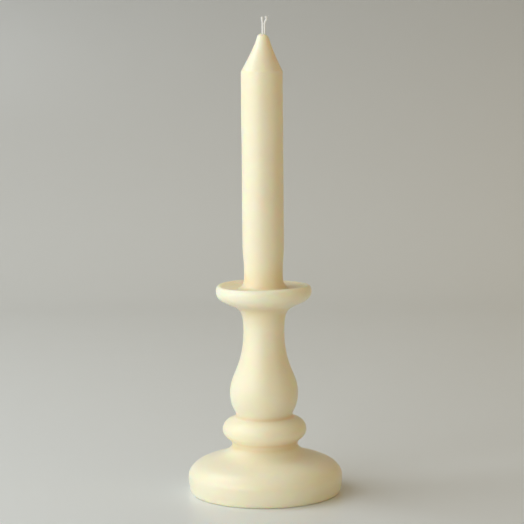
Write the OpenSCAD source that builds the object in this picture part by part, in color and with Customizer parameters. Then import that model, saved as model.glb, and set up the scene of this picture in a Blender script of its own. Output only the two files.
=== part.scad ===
// Candlestick candle: a turned-looking stand cast in wax, a dinner candle seated
// in its drip pan, the bead of wax that seals the joint, and a two-cord wick.
// Millimetres, +Z up. The origin is the centre of the foot's flat underside.

/* [Foot] */
// Largest diameter of the foot
foot_d = 82.2; // [76:0.2:90]
// How far the foot's rounded edge draws in to its flat underside
foot_inset = 2; // [1:0.1:5]
// Height at which the foot is widest
foot_edge_z = 9; // [8:0.1:10]
// Diameter of the foot at the top of its rounded shoulder
foot_shoulder_d = 72; // [70:0.2:74]
// Height of the top of that shoulder
foot_shoulder_z = 16.2; // [15.6:0.1:16.8]
// Height of the crease where the foot meets the ring
foot_h = 25; // [24:0.1:27]
// Diameter of the stand in that crease
foot_neck_d = 33.6; // [31:0.2:35]

/* [Ring] */
// Outer diameter of the bead ring
ring_d = 44.8; // [42:0.2:48]
// Height of the ring's widest line
ring_z = 34.1; // [33.6:0.1:35]
// Height of the ring's cross-section
ring_h = 12.8; // [12:0.2:13.6]
// How far the ring's rounded edge reaches in
ring_reach = 7.9; // [7:0.1:8.6]

/* [Baluster] */
// Diameter where the baluster meets the ring
baluster_foot_d = 27.8; // [26:0.2:30]
// Largest diameter of the baluster
baluster_d = 36.4; // [33:0.2:39]
// Height at which the baluster is widest
baluster_z = 53.4; // [52:0.1:56]
// Diameter of the neck under the pan
neck_d = 21.8; // [20.6:0.2:24]
// Height at which the neck is narrowest
neck_z = 87.4; // [84:0.1:90]

/* [Pan] */
// Outer diameter of the drip pan
pan_d = 50.8; // [46:0.2:56]
// Height at which the pan is widest
pan_edge_z = 108.2; // [107.4:0.1:109]
// Height of the rim's crest
pan_crest_z = 111.4; // [111:0.1:112]
// Thickness of the rounded rim, from outside to crest
rim_t = 1.9; // [1.5:0.1:2.5]
// Depth of the dish below the crest
dish_depth = 1.6; // [1:0.1:2]
// Depth of the socket that the candle's foot sits in
socket_depth = 10; // [8:0.5:10.5]

/* [Candle] */
// Diameter of the candle's straight body
candle_d = 22; // [21.4:0.1:23]
// Diameter of the drawn-in foot of the candle
candle_foot_d = 20.6; // [20:0.1:21]
// Height of the shoulder where the tapered tip begins
shoulder_z = 223.8; // [180:1:280]
// Length of the tapered tip above the shoulder
tip_h = 19.5; // [17:0.5:22]
// Radius of the rounded end of the tip
tip_r = 3; // [2.6:0.1:3.2]
// Radial clearance between the candle's foot and the socket
socket_fit = 0.08; // [0.05:0.01:0.1]

/* [Foot bead] */
// Diameter of the wax bead where it meets the pan
bead_d = 27.6; // [25:0.2:29]
// Height of the wax bead up the candle
bead_h = 6.4; // [5:0.2:8]

/* [Wick] */
// Diameter of one wick cord
cord_d = 0.8; // [0.6:0.05:1]
// Distance between the two cords' centres
cord_pitch = 1.1; // [1.05:0.05:1.3]
// How far the wick comes out beside the candle's axis
wick_x = 1.2; // [0:0.1:1.2]
// Straight height of the cords above the tip
wick_straight = 5.2; // [4:0.1:7]
// Lean of the left cord's end
left_lean = 8; // [2:1:30]
// Lean of the right cord's end
right_lean = 32; // [10:1:45]

/* [Hidden] */

lathe_fn = 144;
cord_fn = 24;
wax = "#f2e6c4";
cotton = "#f6f3ea";

foot_r = foot_d / 2;
foot_contact_r = foot_r - foot_inset;
foot_neck_r = foot_neck_d / 2;
ring_centre = [ring_d / 2 - ring_reach, ring_z];
ring_size = [ring_reach, ring_h / 2];
ring_crease_gap = 0.5;
baluster_foot_r = baluster_foot_d / 2;
baluster_foot_z = ring_z + ring_h / 2 + ring_crease_gap;
baluster_r = baluster_d / 2;
neck_r = neck_d / 2;
pan_r = pan_d / 2;
rim_crest_r = pan_r - rim_t;
rim_h = pan_crest_z - pan_edge_z;
// How much of the dish's width lies flat before its wall turns up to the rim
dish_reach = 0.85;
dish_z = pan_crest_z - dish_depth;
seat_margin = 2;
dish_flat_r = bead_d / 2 + seat_margin;
bowl_r = neck_r + 2.5;
bowl_z = pan_edge_z - 9.3;

socket_r = candle_foot_d / 2 + socket_fit;
socket_z = dish_z - socket_depth;
candle_r = candle_d / 2;
candle_foot_r = candle_foot_d / 2;
candle_foot_gap = 0.3;
candle_foot_z = socket_z + candle_foot_gap;
candle_foot_chamfer = 0.6;
waist_z = dish_z + 10;
body_z = waist_z + 14;
tip_z = shoulder_z + tip_h;
tip_cap_h = tip_r / 2;
bead_r = bead_d / 2;
cord_r = cord_d / 2;

// How each free curve leaves its lower end and arrives at its upper end, as [r, z] handles
foot_out = [0, 3.5];
foot_shoulder_out = [-7.5, 4];
foot_shoulder_in = 0.28 * foot_shoulder_out;
foot_in = [-6, 6];
baluster_out = [1, 1.6];
belly_in = [0, 6.8];
belly_out = [0, 11.2];
neck_in = [0, 20.8];
neck_out = [0, 5.4];
bowl_in = [2, 1.15];
bowl_out = [5.7, 3.2];
edge_in = [0, 5.6];
crest_out = [-0.6, 0];
waist_out = [0, 4];
body_in = [0, 6];
shoulder_out = [-3.8, 7.2];
tip_in = [-1.5, 5];
bead_out = [-2.5, 0.35];
bead_in = [0, 3.6];

overshoot = 1;

// Points on an ellipse from one angle to another, without the first one
function ellipse_arc(centre, size, from, to, steps) =
    [for (i = [1:steps])
        let (a = from + (to - from) * i / steps)
        centre + [size.x * cos(a), size.y * sin(a)]];

// Points on a cubic curve from a to b, without the first one
function curve(a, leave, arrive, b, steps) =
    [for (i = [1:steps])
        let (t = i / steps, s = 1 - t)
        s ^ 3 * a + 3 * s ^ 2 * t * (a + leave) + 3 * s * t ^ 2 * (b - arrive) + t ^ 3 * b];

// Half section of the foot: underside, rounded edge and shoulder, low ogee up to the ring
function foot_outline() =
    let (edge = [foot_r, foot_edge_z], shoulder = [foot_shoulder_d / 2, foot_shoulder_z],
         top = [foot_neck_r, foot_h])
    concat(
        [[0, 0], [foot_contact_r, 0]],
        ellipse_arc([foot_contact_r, foot_edge_z], [foot_inset, foot_edge_z], -90, 0, 10),
        curve(edge, foot_out, foot_shoulder_in, shoulder, 14),
        curve(shoulder, foot_shoulder_out, foot_in, top, 18)
    );

// Half section of the ring's rounded edge, from its lower crease to its upper one
function ring_outline() = ellipse_arc(ring_centre, ring_size, -76, 88, 24);

// Half section of the baluster and the neck above it
function baluster_outline() =
    let (foot = [baluster_foot_r, baluster_foot_z], belly = [baluster_r, baluster_z],
         neck = [neck_r, neck_z])
    concat(
        [foot],
        curve(foot, baluster_out, belly_in, belly, 14),
        curve(belly, belly_out, neck_in, neck, 28)
    );

// Half section of the pan: flare, bowl-shaped underside, rounded rim and shallow dish
function pan_outline() =
    let (neck = [neck_r, neck_z], bowl = [bowl_r, bowl_z], edge = [pan_r, pan_edge_z],
         crest = [rim_crest_r, pan_crest_z], dish = [dish_flat_r, dish_z])
    concat(
        curve(neck, neck_out, bowl_in, bowl, 12),
        curve(bowl, bowl_out, edge_in, edge, 18),
        ellipse_arc([rim_crest_r, pan_edge_z], [rim_t, rim_h], 0, 90, 10),
        curve(crest, crest_out, dish_reach * (dish - [crest.x, dish.y]), dish, 12),
        [[0, dish_z]]
    );

// Half section of the candle, from its foot in the socket to the rounded tip
function candle_outline() =
    let (waist = [candle_foot_r, waist_z], body = [candle_r, body_z],
         shoulder = [candle_r, shoulder_z], cap = [tip_r, tip_z - tip_cap_h])
    concat(
        [
            [0, candle_foot_z],
            [candle_foot_r - candle_foot_chamfer, candle_foot_z],
            [candle_foot_r, candle_foot_z + candle_foot_chamfer],
            waist
        ],
        curve(waist, waist_out, body_in, body, 10),
        [shoulder],
        curve(shoulder, shoulder_out, tip_in, cap, 12),
        ellipse_arc([0, cap.y], [tip_r, tip_cap_h], 0, 90, 8)
    );

// Half section of the bead: flat underside, hollow flank, feather edge on the candle
function bead_outline() =
    let (edge = [bead_r, dish_z], top = [candle_foot_r, dish_z + bead_h])
    concat([[candle_foot_r, dish_z], edge], curve(edge, bead_out, bead_in, top, 12));

// A wick cord from the candle's foot up through the wax: it leaves the tip straight
// and its end bends over to the left or, with turn = 180, to the right
module wick_cord(x, bend_r, lean, turn) {
    straight_top = tip_z + wick_straight;
    color(cotton)
        translate([x, 0, 0])
            rotate([0, 0, turn]) {
                translate([0, 0, candle_foot_z])
                    cylinder(r = cord_r, h = straight_top - candle_foot_z, $fn = cord_fn);
                translate([-bend_r, 0, straight_top])
                    rotate([90, 0, 0])
                        rotate_extrude(angle = lean, $fn = lathe_fn)
                            translate([bend_r, 0])
                                circle(r = cord_r, $fn = cord_fn);
            }
}

// The stand: foot, ring, baluster, neck and drip pan in one casting, with a socket
module stand() {
    color(wax)
        difference() {
            rotate_extrude($fn = lathe_fn)
                polygon(concat(foot_outline(), ring_outline(), baluster_outline(), pan_outline()));
            translate([0, 0, socket_z])
                cylinder(r = socket_r, h = socket_depth + overshoot, $fn = lathe_fn);
        }
}

// The dinner candle, cast round its two wick cords
module taper() {
    color(wax)
        difference() {
            rotate_extrude($fn = lathe_fn)
                polygon(candle_outline());
            for (side = [-1, 1])
                translate([wick_x + side * cord_pitch / 2, 0, candle_foot_z - overshoot])
                    cylinder(r = cord_r, h = tip_z - candle_foot_z + 2 * overshoot, $fn = cord_fn);
        }
}

// The bead of wax run in round the candle's foot, resting on the pan
module foot_bead() {
    color(wax)
        rotate_extrude($fn = lathe_fn)
            polygon(bead_outline());
}

// The left-hand wick cord, nearly straight
module wick_left() {
    wick_cord(wick_x - cord_pitch / 2, bend_r = 28, lean = left_lean, turn = 0);
}

// The right-hand wick cord, leaning further out at its end
module wick_right() {
    wick_cord(wick_x + cord_pitch / 2, bend_r = 7.5, lean = right_lean, turn = 180);
}

stand();
taper();
foot_bead();
wick_left();
wick_right();
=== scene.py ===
"""Looks of the candlestick candle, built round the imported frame.

The wax is turned from the frame's own half sections and softened as a casting is, and
the wick is twisted from plies along the frame's two cords. Metres, +Z up.
"""

import math

import bmesh
import bpy
import numpy as np
from mathutils import Matrix, Vector, noise


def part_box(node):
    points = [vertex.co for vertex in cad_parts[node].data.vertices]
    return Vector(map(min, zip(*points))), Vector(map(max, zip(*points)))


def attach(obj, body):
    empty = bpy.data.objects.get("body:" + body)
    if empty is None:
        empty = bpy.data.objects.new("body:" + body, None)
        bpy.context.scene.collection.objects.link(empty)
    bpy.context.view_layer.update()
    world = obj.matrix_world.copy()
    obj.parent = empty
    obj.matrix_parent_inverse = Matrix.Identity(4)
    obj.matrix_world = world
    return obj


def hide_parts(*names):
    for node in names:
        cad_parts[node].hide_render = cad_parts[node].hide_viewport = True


MM = 0.001

# Turned outlines: points that agree to this many decimals of a metre are one, the outline is
# worked in fine steps, and the mesh has a ring at each ring step
MERGE_DIGITS = 7
FINE_STEP = 0.1 * MM
RING_STEP = 0.4 * MM
SEGMENTS = 128

# Soft edges of the castings, how wide a crease is filled, and the filling that counts as deep, where
# the painted crease shade is at its full
STAND_SOFTNESS = 0.35 * MM
CANDLE_SOFTNESS = 0.14 * MM
HOLLOW_SIZE = 2.2 * MM
FULL_PAINTED_SHADE_DEPTH = 0.7 * MM
BEAD_SINK = 0.03 * MM

# Faint lumps all over the wax
UNEVENNESS = 0.08 * MM
UNEVEN_WAVE = 24 * MM
UNEVEN_SEED = 5

# Where the castings aren't true: the stem's bow, the twist of the pan's rim, the lean of the tip
BOW = -0.3 * MM
RIM_TWIST = 0.8 * MM
TIP_LEAN = 0.75 * MM
TIP_LEAN_HEIGHT = 23 * MM

# Wax round the wick: a tip that falls away to the right, a lump beside the wick and a little
# wax climbed up each cord
TIP_DETAIL_HEIGHT = 3 * MM
TIP_FALL = 0.12
LUMP_HEIGHT = 0.3 * MM
LUMP_WIDTH = 0.5 * MM
LUMP_GAP = 1.3 * MM
LUMP_FORWARD = 0.4 * MM
CLIMB_HEIGHT = 0.15 * MM
CLIMB_WIDTH = 0.5 * MM

# Cord lines: straight above the tip, then out, and back again over the last share of the bend
CORD_STEPS = 400
FREE_STRAIGHT = 5.4 * MM
TURN_BACK = {"wick_left": 0, "wick_right": 0.75 * MM}
TURN_BACK_FROM = 0.68

# Plies: their offset, radius and unevenness are shares of the cord's radius
PLIES = 3
PLY_SIDES = 8
PLY_STEP = 0.15 * MM
PLY_OFFSET = 0.54
PLY_RADIUS = 0.64
PLY_WAVES_PER_TURN = 3.1
PLY_WAVE = 0.12
PLY_SWELL = 0.1
PLY_END = (0.9, 0.7, 0.35)
TWIST_PITCH = 2.1 * MM
FRAY_LENGTH = 2.8 * MM
FRAY_SPREAD = 1.7

# Loose fibres at the frayed ends: shares of the cord's direction, radius and fibre length
FIBRES = 18
FIBRE_LENGTH = 1.2 * MM
FIBRE_RADIUS = 0.02 * MM
FIBRE_STEPS = 8
FIBRE_SIDES = 5
FIBRE_TAPER = 0.6
FIBRE_AHEAD = (0.5, 1)
FIBRE_OUT = (0.15, 0.7)
FIBRE_CURL = 0.35
FIBRE_ROOT = (0.3, 0.9)
FIBRE_SIZES = (0.5, 1)

# The one strand that has come loose from the right cord
STRAND_LENGTH = 1.6 * MM
STRAND_RADIUS = 0.07 * MM
STRAND_DROP = 1.1 * MM
STRAND_HEADING = np.array((0.75, 0, 0.5))
STRAND_CURL = np.array((0.1, -0.1, 0.25))

# Wax material: clouds, painted shade in creases and at the candle's foot, a painted glow at the pan's
# rim, sheen, ripples and grain, and how far light reaches into it. Light that enters within the light
# depth of a hidden contact face would be lost there
CLOUD_SIZE = 16 * MM
CLOUD_COLOURS = [(0.3, (0.92, 0.85, 0.64)), (0.7, (0.935, 0.87, 0.675))]
# Painted shade: a darker, warmer tint for creases and the candle's foot, where shade falls
PAINTED_SHADE_TINT = (0.97, 0.89, 0.76)
# Painted glow: a paler tint for the pan's thin rim, standing in for light through the wax
PAINTED_GLOW_TINT = (1.02, 1.03, 1.08)
WAX_ROUGHNESS = (0.26, 0.4)
SHEEN_SIZE = 5 * MM
RIPPLE_SIZE = 7 * MM
RIPPLE_HEIGHT = 0.1 * MM
GRAIN_SIZE = 0.5 * MM
GRAIN_HEIGHT = 0.01 * MM
WAX_BUMP = 0.5
WAX_IOR = 1.44
LIGHT_DEPTH = 12 * MM
LIGHT_REACH = 7 * MM
LIGHT_REACH_AT_JOINT = 0.4 * MM
REACH_BY_COLOUR = (1, 0.6, 0.33)

# Cotton material, with filaments drawn out along the cord
FILAMENT_SIZE = 0.07 * MM
FILAMENT_STRETCH = (1, 1, 7)
FILAMENT_HEIGHT = 0.03 * MM
COTTON_COLOURS = [(0.3, (0.93, 0.92, 0.87)), (0.6, (0.98, 0.98, 0.97))]
COTTON_ROUGHNESS = (0.95, 0.8)
COTTON_BUMP = 0.8
COTTON_SHEEN = 0.4
COTTON_SPECULAR = 0.25

# Stage material: its colour at two heights, and faint smears in its sheen
STAGE_COLOURS = [(0.0, (0.80, 0.83, 0.83)), (0.35, (0.55, 0.57, 0.575))]
STAGE_ROUGHNESS = (0.28, 0.38)
SMEAR_SIZE = 60 * MM

# Camera
FOCAL_LENGTH_MM = 123.66
CAMERA_AT = (-0.756 * MM, -946.4 * MM, 231.9 * MM)
CAMERA_PITCH = math.radians(6.53)
CAMERA_ROLL = math.radians(-0.53)

# Studio, in metres
STAGE_WIDTH = 8.0
STAGE_FRONT = -3.5
STAGE_BACK = 0.7
SWEEP_RADIUS = 0.4
STAGE_BACK_TOP = 1.9
STAGE_FRONT_TOP = 1.1
SWEEP_STEPS = 24

# Lights: azimuth (0 is the camera's side, 90 its right), elevation, distance, size, power, colour
DAYLIGHT = (0.865, 0.92, 0.965)
ROOM_LIGHT = (1.0, 0.77, 0.4)
LIGHTS = [
    ("window", -69, 8, 1.1, 1.1, 5.3, DAYLIGHT),
    ("window_front", -37, 15, 1.2, 0.9, 6.2, DAYLIGHT),
    ("window_top", -100, 50, 1.2, 0.8, 6.8, DAYLIGHT),
    ("room", 55, 12, 2.7, 2.4, 10.4, ROOM_LIGHT),
    ("room_back", 120, 15, 1.4, 1.2, 2.2, ROOM_LIGHT),
]
WORLD = (1.0, 0.77, 0.49)
WORLD_STRENGTH = 0.21

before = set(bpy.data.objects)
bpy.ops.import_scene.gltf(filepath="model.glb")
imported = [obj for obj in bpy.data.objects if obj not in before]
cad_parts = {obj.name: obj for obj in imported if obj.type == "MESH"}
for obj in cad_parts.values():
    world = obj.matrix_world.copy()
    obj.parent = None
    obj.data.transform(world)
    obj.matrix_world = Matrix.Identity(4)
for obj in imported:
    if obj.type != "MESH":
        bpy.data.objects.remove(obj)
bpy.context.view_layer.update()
pan_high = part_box("stand")[1]
candle_low, candle_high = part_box("taper")
tip_z = candle_high.z
stand_points = [vertex.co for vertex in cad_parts["stand"].data.vertices]
pan_radius = max(point.x for point in stand_points if point.z > candle_low.z)
joint_low, joint_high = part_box("foot_bead")


def ease(t):
    """Smooth step from 0 to 1."""
    t = np.clip(t, 0, 1)
    return t * t * (3 - 2 * t)


def spaced(line, count):
    """The same line with count equal steps."""
    along = np.r_[0, np.cumsum(np.linalg.norm(np.diff(line, axis=0), axis=1))]
    at = np.linspace(0, along[-1], count + 1)
    return np.column_stack([np.interp(at, along, axis) for axis in line.T])


def length(line):
    return np.linalg.norm(np.diff(line, axis=0), axis=1).sum()


def shown(name, points, faces, material, body, nodes):
    """A smooth mesh that rides on a body, stands for CAD nodes and has a material."""
    mesh = bpy.data.meshes.new(name)
    mesh.from_pydata(points, [], faces)
    mesh.shade_smooth()
    mesh.materials.append(material)
    piece = bpy.data.objects.new(name, mesh)
    bpy.context.collection.objects.link(piece)
    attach(piece, body)
    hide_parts(*nodes)
    return piece


# ---------------------------------------------------------------- wax shapes

def half_section(node):
    """A round CAD solid's outline as (radius, height) rows, from its lowest innermost point."""
    solid = bmesh.new()
    solid.from_mesh(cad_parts[node].data)
    bmesh.ops.remove_doubles(solid, verts=solid.verts, dist=10 ** -MERGE_DIGITS)
    whole = solid.verts[:] + solid.edges[:] + solid.faces[:]
    cut = bmesh.ops.bisect_plane(solid, geom=whole, plane_co=(0, 0, 0), plane_no=(0, 1, 0))
    neighbours = {}
    for edge in cut["geom_cut"]:
        if isinstance(edge, bmesh.types.BMEdge):
            a, b = [(round(-v.co.x, MERGE_DIGITS), round(v.co.z, MERGE_DIGITS)) for v in edge.verts]
            if min(a[0], b[0]) > 0 and a != b:
                neighbours.setdefault(a, []).append(b)
                neighbours.setdefault(b, []).append(a)
    solid.free()
    walk = [min(neighbours, key=lambda point: (point[1], point[0]))]
    ahead = neighbours[walk[0]]
    while ahead:
        walk.append(max(ahead))
        ahead = [point for point in neighbours[walk[-1]] if point not in walk]
    return np.array(walk)


def run_round(body, ring):
    """A body's outline with a ring of the same wax run round it, a hair into what it rests on."""
    outside = ring[: ring[:, 1].argmax() + 1]
    outside[:2, 1] -= BEAD_SINK
    below = body[body[:, 1] < outside[0, 1]]
    above = body[body[:, 1] > outside[-1, 1]]
    return np.vstack([below, outside, above])


def rounded(half, softness):
    """An outline in fine steps with its corners rounded over about the given length.

    Each pass adds half a squared step of blur.
    """
    loop = np.vstack([half, half[-2:0:-1] * (-1, 1)])
    passes = round(2 * (softness / FINE_STEP) ** 2)
    for _ in range(passes):
        loop = (np.roll(loop, 1, axis=0) + 2 * loop + np.roll(loop, -1, axis=0)) / 4
    return loop[: len(half)]


def soften(outline, softness, fill_below, detail_above):
    """The outline in small steps from axis to axis, and how deep in a crease each step lies, which sets
    how much painted shade it gets.

    Creases lower than fill_below are filled and soft, as they are in a cast from a soft mould.
    """
    to_axis = np.vstack([outline[0] * (0, 1), outline, outline[-1] * (0, 1)])
    rings = round(length(to_axis) / RING_STEP)
    skip = round(RING_STEP / FINE_STEP)
    half = rounded(spaced(to_axis, rings * skip), softness)
    along = np.gradient(half, axis=0)
    outward = np.column_stack([along[:, 1], -along[:, 0]]) / np.linalg.norm(along, axis=1)[:, None]
    filling = rounded(half, HOLLOW_SIZE) - half
    filled = (filling * outward).sum(axis=1)
    in_crease = ease(filled / FINE_STEP) * (half[:, 1] < fill_below)
    half = half + in_crease[:, None] * filling
    kept = (np.arange(len(half)) % skip == 0) | (half[:, 1] > detail_above)
    return half[kept], np.clip(filled[kept] / FULL_PAINTED_SHADE_DEPTH, 0, 1)


def add_values(piece, name, values):
    """A number for each point of a mesh, which its material reads by name."""
    attribute = piece.data.attributes.new(name, "FLOAT", "POINT")
    attribute.data.foreach_set("value", values.astype(np.float32))


def from_joint(points):
    """Distance from where the candle and the stand meet, as a share of the depth that light reaches."""
    beyond = np.hypot(points[:, 0], points[:, 1]) - joint_high.x
    above = points[:, 2] - joint_low.z
    below = candle_low.z - points[:, 2]
    gap = np.hypot(np.maximum(beyond, 0), np.maximum(np.maximum(above, below), 0))
    return np.clip(gap / LIGHT_DEPTH, 0, 1)


def painted_rim_glow_mask(points):
    """1 at the pan's rim, easing to 0 half-way in and nothing above or below the pan: where a paler
    colour is painted for light shining through the thin wax.
    """
    in_pan = (points[:, 2] > candle_low.z) * (points[:, 2] < pan_high.z + FINE_STEP)
    out = np.hypot(points[:, 0], points[:, 1]) / pan_radius
    return in_pan * ease(2 * out - 1)


def wax_piece(name, outline, hollow, material, body, nodes, shape):
    """A turned piece of wax with what its material needs to know at each point."""
    round_points, faces = lathe(outline)
    points = shape(round_points)
    piece = shown(name, points, faces, material, body, nodes)
    around = np.r_[np.repeat(hollow[1:-1], SEGMENTS), hollow[0], hollow[-1]]
    joint = from_joint(round_points)
    # Painted shade: the colour is darkened and warmed in creases and where the candle meets the stand,
    # where shade falls
    add_values(piece, "hollow", np.maximum(around, 1 - joint))
    # Painted glow: the pan's rim is coloured paler, for light shining through the thin wax
    add_values(piece, "painted_rim_glow", painted_rim_glow_mask(round_points))
    add_values(piece, "clear", np.clip(np.minimum(joint, round_points[:, 2] / LIGHT_DEPTH), 0, 1))


def lathe(outline):
    """Points and faces of an outline turned about Z, closed at the axis at both ends."""
    angles = np.linspace(0, 2 * math.pi, SEGMENTS, endpoint=False)
    radius, height = outline[1:-1].T
    across = np.outer(radius, np.cos(angles))
    deep = np.outer(radius, np.sin(angles))
    high = np.repeat(height, SEGMENTS).reshape(across.shape)
    points = np.stack([across, deep, high], axis=-1).reshape(-1, 3)
    here = np.arange(len(points)).reshape(-1, SEGMENTS)
    beside = np.roll(here, -1, axis=1)
    quads = np.stack([here[:-1], beside[:-1], beside[1:], here[1:]], axis=-1).reshape(-1, 4)
    first, last = len(points), len(points) + 1
    start_fan = [(first, b, a) for a, b in zip(here[0], beside[0])]
    end_fan = [(last, a, b) for a, b in zip(here[-1], beside[-1])]
    points = np.vstack([points, (0, 0, outline[0, 1]), (0, 0, outline[-1, 1])])
    return points, quads.tolist() + start_fan + end_fan


def hand_cast(points):
    """Points moved as in an uneven casting, by one field for all the wax."""
    noise.seed_set(UNEVEN_SEED)
    wave = np.array([noise.noise_vector(Vector(point) / UNEVEN_WAVE) for point in points])
    height = points[:, 2]
    bow = BOW * np.sin(math.pi * np.clip(height / pan_high.z, 0, 1)) ** 2
    lean = TIP_LEAN * ease((height - tip_z + TIP_LEAN_HEIGHT) / TIP_LEAN_HEIGHT)
    moved = points.copy()
    moved[:, :2] += UNEVENNESS * wave[:, :2]
    moved[:, 0] += bow + lean
    moved[:, 2] += rim_twist(points)
    return moved


def in_rim(points):
    """1 at the edge of the pan, easing to 0 at the joint with the candle and below the pan."""
    radius = np.hypot(points[:, 0], points[:, 1])
    out = ease((radius - joint_high.x) / (pan_radius - joint_high.x))
    up = ease((points[:, 2] - candle_low.z) / (pan_high.z - candle_low.z))
    return out * up


def rim_twist(points):
    """How far the pan's uneven rim rises."""
    return -RIM_TWIST * in_rim(points) * points[:, 0] * points[:, 1] / pan_radius ** 2


def raise_tip(points):
    """Tilts the tip, and raises the lump beside the wick and the wax that climbed up the cords."""
    def mound(x, y, tall, wide):
        return tall * np.exp(-((points[:, 0] - x) ** 2 + (points[:, 1] - y) ** 2) / (2 * wide ** 2))

    climbed = [mound(cord_x(node), 0, CLIMB_HEIGHT, CLIMB_WIDTH) for node in TURN_BACK]
    lump = mound(cord_x("wick_left") - LUMP_GAP, -LUMP_FORWARD, LUMP_HEIGHT, LUMP_WIDTH)
    near_tip = ease((points[:, 2] - tip_z + TIP_DETAIL_HEIGHT) / TIP_DETAIL_HEIGHT)
    raised = points.copy()
    raised[:, 2] += near_tip * (np.maximum(*climbed) + lump - TIP_FALL * points[:, 0])
    return raised


def make_stand(material):
    outline, hollow = soften(half_section("stand"), STAND_SOFTNESS, candle_low.z, math.inf)
    wax_piece("stand_casting", outline, hollow, material, "holder", ["stand"], hand_cast)


def cast_candle(points):
    """Points of the candle moved as in an uneven casting and its tip shaped round the wick."""
    return raise_tip(hand_cast(points))


def make_candle(material):
    """The candle and the bead at its foot, one skin of wax with no seam between them."""
    outline = run_round(half_section("taper"), half_section("foot_bead"))
    outline, hollow = soften(outline, CANDLE_SOFTNESS, 0, tip_z - TIP_DETAIL_HEIGHT)
    nodes = ["taper", "foot_bead"]
    wax_piece("candle_casting", outline, hollow, material, "candle", nodes, cast_candle)


# ---------------------------------------------------------------- wick

def cord_radius(node):
    low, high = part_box(node)
    return (high.y - low.y) / 2


def cord_x(node):
    """Where a cord's straight part stands: the left one leans left and the right one right."""
    low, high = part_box(node)
    if node == "wick_left":
        return high.x - cord_radius(node)
    return low.x + cord_radius(node)


def cord_line(node):
    """A cord's centreline: straight up through the wax, then bent over at the free end."""
    low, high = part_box(node)
    radius = cord_radius(node)
    reach = (high.x - low.x) - 2 * radius
    side = -1 if node == "wick_left" else 1
    height = np.linspace(low.z, high.z - radius / 2, CORD_STEPS)
    free = (height - tip_z - FREE_STRAIGHT) / (high.z - tip_z - FREE_STRAIGHT)
    out = reach * ease(free / TURN_BACK_FROM)
    back = TURN_BACK[node] * ease((free - TURN_BACK_FROM) / (1 - TURN_BACK_FROM))
    x = cord_x(node) + side * (out - back)
    return np.column_stack([x, np.zeros_like(x), height])


def directions(line):
    """Unit vectors along a line, and two across it."""
    ahead = np.gradient(line, axis=0)
    ahead /= np.linalg.norm(ahead, axis=1)[:, None]
    side = np.cross((0, 1, 0), ahead)
    side /= np.linalg.norm(side, axis=1)[:, None]
    return ahead, side, np.cross(ahead, side)


def tube(line, radii, sides):
    """Points and faces of a closed tube along a line."""
    _, side, up = directions(line)
    angles = np.linspace(0, 2 * math.pi, sides, endpoint=False)[None, :, None]
    around = np.cos(angles) * side[:, None] + np.sin(angles) * up[:, None]
    points = (line[:, None] + radii[:, None, None] * around).reshape(-1, 3)
    here = np.arange(len(points)).reshape(-1, sides)
    beside = np.roll(here, -1, axis=1)
    quads = np.stack([here[:-1], beside[:-1], beside[1:], here[1:]], axis=-1).reshape(-1, 4)
    return points, quads.tolist() + [here[0, ::-1].tolist(), here[-1].tolist()]


def ply(line, radius, turn):
    """One ply of a cord, wound round the cord's line and opening out at the free end."""
    line = spaced(line, round(length(line) / PLY_STEP))
    _, side, up = directions(line)
    along = np.arange(len(line)) * PLY_STEP
    fray = ease(1 - (along[-1] - along) / FRAY_LENGTH)
    angle = 2 * math.pi * along / TWIST_PITCH + turn
    offset = PLY_OFFSET * radius * (1 + (FRAY_SPREAD - 1) * fray)
    wound = line + (offset * np.cos(angle))[:, None] * side + (offset * np.sin(angle))[:, None] * up
    uneven = 1 + PLY_WAVE * np.sin(PLY_WAVES_PER_TURN * angle) + PLY_SWELL * fray
    radii = PLY_RADIUS * radius * uneven
    radii[-len(PLY_END):] *= PLY_END
    return tube(wound, radii, PLY_SIDES)


def fibre(start, heading, curl, size, radius):
    """A loose cotton fibre that tapers and curls away from its start."""
    t = np.linspace(0, 1, FIBRE_STEPS + 1)[:, None]
    line = start + size * (t * heading + t ** 2 * curl)
    return tube(line, radius * (1 - FIBRE_TAPER * t[:, 0]), FIBRE_SIDES)


def frayed_fibres(line, radius, seed):
    """Loose fibres round a cord's free end."""
    rng = np.random.default_rng(seed)
    line = spaced(line, round(length(line) / PLY_STEP))
    ahead, side, up = directions(line)
    fibres = []
    for _ in range(FIBRES):
        at = len(line) - 1 - int(rng.integers(0, FRAY_LENGTH / PLY_STEP))
        angle = rng.uniform(0, 2 * math.pi)
        out = math.cos(angle) * side[at] + math.sin(angle) * up[at]
        heading = ahead[at] * rng.uniform(*FIBRE_AHEAD) + out * rng.uniform(*FIBRE_OUT)
        curl = rng.uniform(-FIBRE_CURL, FIBRE_CURL, 3)
        start = line[at] + out * radius * rng.uniform(*FIBRE_ROOT)
        size = FIBRE_LENGTH * rng.uniform(*FIBRE_SIZES)
        fibres.append(fibre(start, heading, curl, size, FIBRE_RADIUS))
    return fibres


def loose_strand(line):
    """A strand that has come out of the cord just below its end."""
    start = line[np.searchsorted(line[:, 2], line[-1, 2] - STRAND_DROP)]
    return fibre(start, STRAND_HEADING, STRAND_CURL, STRAND_LENGTH, STRAND_RADIUS)


def joined(parts):
    """Several point and face lists as one."""
    points, faces, count = [], [], 0
    for part_points, part_faces in parts:
        points.append(part_points)
        faces += [[corner + count for corner in face] for face in part_faces]
        count += len(part_points)
    return np.vstack(points), faces


def make_cord(node, seed, material):
    line = cord_line(node)
    radius = cord_radius(node)
    parts = [ply(line, radius, 2 * math.pi * k / PLIES) for k in range(PLIES)]
    parts += frayed_fibres(line, radius, seed)
    if node == "wick_right":
        parts.append(loose_strand(line))
    points, faces = joined(parts)
    return shown(node + "_yarn", points, faces, material, "candle", [node])


# ---------------------------------------------------------------- materials

def new_material(name):
    material = bpy.data.materials.new(name)
    material.use_nodes = True
    return material, material.node_tree, material.node_tree.nodes["Principled BSDF"]


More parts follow.
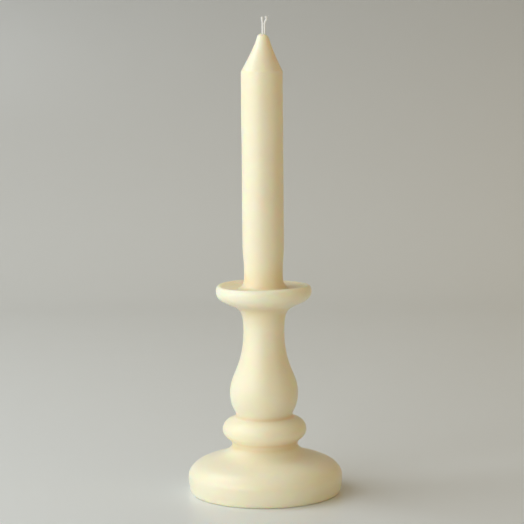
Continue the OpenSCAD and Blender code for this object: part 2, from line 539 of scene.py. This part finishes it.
def noise_node(tree, size, detail=2.0, stretch=(1, 1, 1)):
    """Noise with features of about the given size, in object space."""
    place = tree.nodes.new("ShaderNodeTexCoord")
    mapping = tree.nodes.new("ShaderNodeMapping")
    mapping.inputs["Scale"].default_value = [1 / (size * s) for s in stretch]
    texture = tree.nodes.new("ShaderNodeTexNoise")
    texture.inputs["Scale"].default_value = 1
    texture.inputs["Detail"].default_value = detail
    tree.links.new(place.outputs["Object"], mapping.inputs["Vector"])
    tree.links.new(mapping.outputs["Vector"], texture.inputs["Vector"])
    return texture.outputs["Fac"]


def ramp(tree, value, stops):
    """A colour ramp over (position, colour) stops."""
    node = tree.nodes.new("ShaderNodeValToRGB")
    for stop, (position, colour) in zip(node.color_ramp.elements, stops):
        stop.position = position
        stop.color = (*colour, 1)
    tree.links.new(value, node.inputs["Fac"])
    return node.outputs["Color"]


def point_value(tree, name):
    node = tree.nodes.new("ShaderNodeAttribute")
    node.attribute_name = name
    return node.outputs["Fac"]


def colour_socket(sockets, name):
    """A Mix node's colour socket. Other sockets share its name, but not its identifier."""
    return next(socket for socket in sockets if socket.identifier == name + "_Color")


def tint(tree, colour, multiplier, amount):
    """The colour multiplied by another, by an amount from 0 to 1."""
    node = tree.nodes.new("ShaderNodeMix")
    node.data_type = "RGBA"
    node.blend_type = "MULTIPLY"
    colour_socket(node.inputs, "B").default_value = (*multiplier, 1)
    tree.links.new(amount, node.inputs["Factor"])
    tree.links.new(colour, colour_socket(node.inputs, "A"))
    return colour_socket(node.outputs, "Result")


def spread(tree, value, low, high):
    """A value from 0 to 1 mapped on to a range."""
    node = tree.nodes.new("ShaderNodeMapRange")
    node.inputs["To Min"].default_value = low
    node.inputs["To Max"].default_value = high
    tree.links.new(value, node.inputs["Value"])
    return node.outputs["Result"]


def bump(tree, value, height, strength, below=None):
    node = tree.nodes.new("ShaderNodeBump")
    node.inputs["Distance"].default_value = height
    node.inputs["Strength"].default_value = strength
    tree.links.new(value, node.inputs["Height"])
    if below is not None:
        tree.links.new(below, node.inputs["Normal"])
    return node.outputs["Normal"]


def wax_material():
    """Ivory candle wax: translucent, satin, faintly clouded, with a hand-poured surface, painted shade
    in its creases and at the candle's foot, and a painted paler glow at the pan's thin rim.
    """
    material, tree, wax = new_material("wax")
    colour = ramp(tree, noise_node(tree, CLOUD_SIZE, detail=3), CLOUD_COLOURS)
    # Painted shade in the creases and at the candle's foot
    with_painted_shade = tint(tree, colour, PAINTED_SHADE_TINT, point_value(tree, "hollow"))
    # Painted glow: paler colour at the pan's thin rim
    with_painted_glow = tint(tree, with_painted_shade, PAINTED_GLOW_TINT, point_value(tree, "painted_rim_glow"))
    tree.links.new(with_painted_glow, wax.inputs["Base Color"])
    sheen = spread(tree, noise_node(tree, SHEEN_SIZE, detail=4), *WAX_ROUGHNESS)
    tree.links.new(sheen, wax.inputs["Roughness"])
    ripple = bump(tree, noise_node(tree, RIPPLE_SIZE, detail=2), RIPPLE_HEIGHT, WAX_BUMP)
    grain = bump(tree, noise_node(tree, GRAIN_SIZE, detail=3), GRAIN_HEIGHT, WAX_BUMP, below=ripple)
    tree.links.new(grain, wax.inputs["Normal"])
    wax.inputs["Subsurface Weight"].default_value = 1
    wax.inputs["Subsurface Radius"].default_value = REACH_BY_COLOUR
    reach = spread(tree, point_value(tree, "clear"), LIGHT_REACH_AT_JOINT, LIGHT_REACH)
    tree.links.new(reach, wax.inputs["Subsurface Scale"])
    wax.inputs["IOR"].default_value = WAX_IOR
    return material


def cotton_material():
    """Bleached cotton, with its filaments running along the cord."""
    material, tree, cotton = new_material("cotton")
    filaments = noise_node(tree, FILAMENT_SIZE, detail=3, stretch=FILAMENT_STRETCH)
    colour = ramp(tree, filaments, COTTON_COLOURS)
    tree.links.new(colour, cotton.inputs["Base Color"])
    tree.links.new(bump(tree, filaments, FILAMENT_HEIGHT, COTTON_BUMP), cotton.inputs["Normal"])
    tree.links.new(spread(tree, filaments, *COTTON_ROUGHNESS), cotton.inputs["Roughness"])
    cotton.inputs["Sheen Weight"].default_value = COTTON_SHEEN
    cotton.inputs["Specular IOR Level"].default_value = COTTON_SPECULAR
    return material


def stage_material():
    """A pale, slightly glossy tabletop that runs up into the backdrop."""
    material, tree, surface = new_material("tabletop")
    place = tree.nodes.new("ShaderNodeTexCoord")
    split = tree.nodes.new("ShaderNodeSeparateXYZ")
    tree.links.new(place.outputs["Object"], split.inputs["Vector"])
    colour = ramp(tree, split.outputs["Z"], STAGE_COLOURS)
    tree.links.new(colour, surface.inputs["Base Color"])
    sheen = spread(tree, noise_node(tree, SMEAR_SIZE, detail=3), *STAGE_ROUGHNESS)
    tree.links.new(sheen, surface.inputs["Roughness"])
    return material


# ---------------------------------------------------------------- studio

def make_stage(material):
    """A tabletop that sweeps up into a backdrop behind the object, and a lower one facing it."""
    bends = np.linspace(0, math.pi / 2, SWEEP_STEPS + 1)
    sweep = np.column_stack([SWEEP_RADIUS * np.sin(bends), SWEEP_RADIUS * (1 - np.cos(bends))])
    back = sweep + (STAGE_BACK, 0)
    front = sweep * (-1, 1) + (STAGE_FRONT, 0)
    front_top = (front[-1, 0], STAGE_FRONT_TOP)
    back_top = (back[-1, 0], STAGE_BACK_TOP)
    side_view = np.vstack([front_top, front[::-1], back, back_top])
    points = [(x * STAGE_WIDTH / 2, y, z) for y, z in side_view for x in (-1, 1)]
    faces = [(2 * k, 2 * k + 1, 2 * k + 3, 2 * k + 2) for k in range(len(side_view) - 1)]
    mesh = bpy.data.meshes.new("tabletop")
    mesh.from_pydata(points, [], faces)
    mesh.shade_smooth()
    mesh.materials.append(material)
    stage = bpy.data.objects.new("tabletop", mesh)
    bpy.context.collection.objects.link(stage)


def soft_light(name, azimuth, elevation, distance, size, power, colour):
    """A square area light aimed at the middle of the object."""
    lamp = bpy.data.lights.new(name, "AREA")
    lamp.size = size
    lamp.energy = power
    lamp.color = colour
    light = bpy.data.objects.new(name, lamp)
    turn, rise = math.radians(azimuth), math.radians(elevation)
    middle = Vector((0, 0, tip_z / 2))
    away = Vector((math.sin(turn) * math.cos(rise), -math.cos(turn) * math.cos(rise), math.sin(rise)))
    light.location = middle + distance * away
    light.rotation_euler = away.to_track_quat("Z", "Y").to_euler()
    bpy.context.collection.objects.link(light)


def make_camera():
    lens = bpy.data.cameras.new("camera")
    lens.lens = FOCAL_LENGTH_MM
    camera = bpy.data.objects.new("camera", lens)
    tilt = Matrix.Rotation(math.pi / 2 - CAMERA_PITCH, 4, "X")
    roll = Matrix.Rotation(CAMERA_ROLL, 4, "Z")
    camera.matrix_world = Matrix.Translation(CAMERA_AT) @ tilt @ roll
    bpy.context.collection.objects.link(camera)
    bpy.context.scene.camera = camera


def make_world(colour, strength):
    world = bpy.data.worlds.new("room")
    world.use_nodes = True
    background = world.node_tree.nodes["Background"]
    background.inputs["Color"].default_value = (*colour, 1)
    background.inputs["Strength"].default_value = strength
    bpy.context.scene.world = world


make_camera()
make_world(WORLD, WORLD_STRENGTH)
make_stage(stage_material())
for light in LIGHTS:
    soft_light(*light)

wax = wax_material()
cotton = cotton_material()
make_stand(wax)
make_candle(wax)
make_cord("wick_left", seed=3, material=cotton)
make_cord("wick_right", seed=8, material=cotton)

bpy.context.scene.view_settings.view_transform = "Standard"
bpy.context.scene.cycles.use_denoising = True
